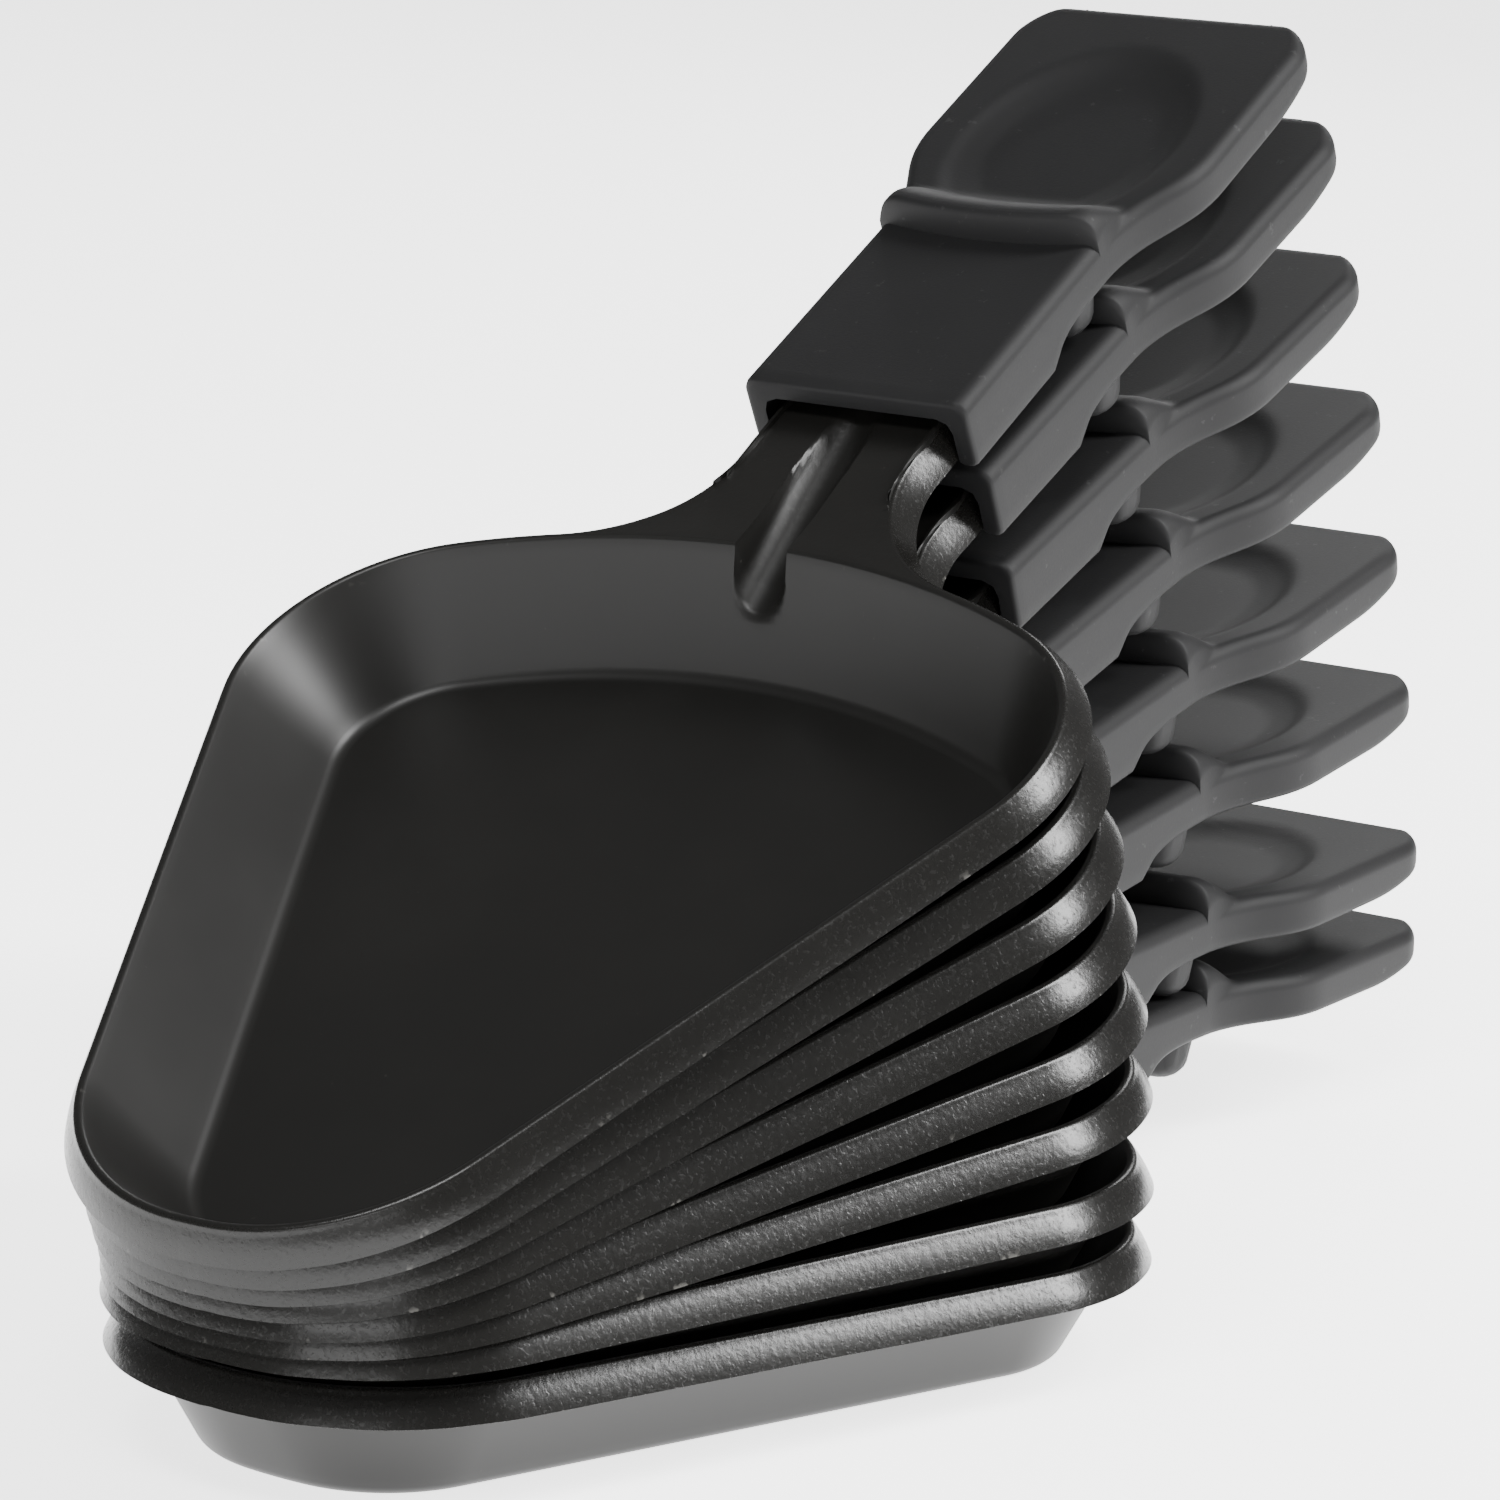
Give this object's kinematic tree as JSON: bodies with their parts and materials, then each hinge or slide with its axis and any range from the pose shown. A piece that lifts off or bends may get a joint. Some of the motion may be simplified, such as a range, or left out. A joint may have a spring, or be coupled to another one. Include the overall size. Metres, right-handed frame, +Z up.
{
  "type": "raclette pan stack",
  "caption": "Nested, fanned stack of small wedge-shaped non-stick raclette pans with rolled rims and flat black plastic handles; each pan lifts off the one below.",
  "frame": {"origin": "centre of the lowest pan's dish floor, on its underside, where the stack stands", "axes": "+Z up, +Y from the dish towards the handle of the lowest pan, +X to the right seen from the tip"},
  "size_m": [0.09, 0.1898, 0.1138],
  "materials": {
    "coated steel": "satin non-stick coating",
    "black plastic": "fine-grained matt black",
    "zinc steel": "plain zinc plated"
  },
  "bodies": {
    "pan_1": {"dish_1": "coated steel", "handle_1": "black plastic", "screw_1": "zinc steel"},
    "pan_2": {"dish_2": "coated steel", "handle_2": "black plastic", "screw_2": "zinc steel"},
    "pan_3": {"dish_3": "coated steel", "handle_3": "black plastic", "screw_3": "zinc steel"},
    "pan_4": {"dish_4": "coated steel", "handle_4": "black plastic", "screw_4": "zinc steel"},
    "pan_5": {"dish_5": "coated steel", "handle_5": "black plastic", "screw_5": "zinc steel"},
    "pan_6": {"dish_6": "coated steel", "handle_6": "black plastic", "screw_6": "zinc steel"},
    "pan_7": {"dish_7": "coated steel", "handle_7": "black plastic", "screw_7": "zinc steel"},
    "pan_8": {"dish_8": "coated steel", "handle_8": "black plastic", "screw_8": "zinc steel"}
  },
  "joints": [
    {"name": "lift_2", "type": "slide", "parent": "pan_1", "child": "pan_2", "axis": [0, 0, 1], "range_m": [0, 0.04]},
    {"name": "lift_3", "type": "slide", "parent": "pan_2", "child": "pan_3", "axis": [0.0001, -0.0305, 0.9995], "range_m": [0, 0.04]},
    {"name": "lift_4", "type": "slide", "parent": "pan_3", "child": "pan_4", "axis": [0.001, -0.1167, 0.9932], "range_m": [0, 0.04]},
    {"name": "lift_5", "type": "slide", "parent": "pan_4", "child": "pan_5", "axis": [0.0027, -0.1925, 0.9813], "range_m": [0, 0.04]},
    {"name": "lift_6", "type": "slide", "parent": "pan_5", "child": "pan_6", "axis": [0.0047, -0.2706, 0.9627], "range_m": [0, 0.04]},
    {"name": "lift_7", "type": "slide", "parent": "pan_6", "child": "pan_7", "axis": [0.0072, -0.3436, 0.9391], "range_m": [0, 0.04]},
    {"name": "lift_8", "type": "slide", "parent": "pan_7", "child": "pan_8", "axis": [0.0094, -0.4146, 0.91], "range_m": [0, 0.04]}
  ]
}
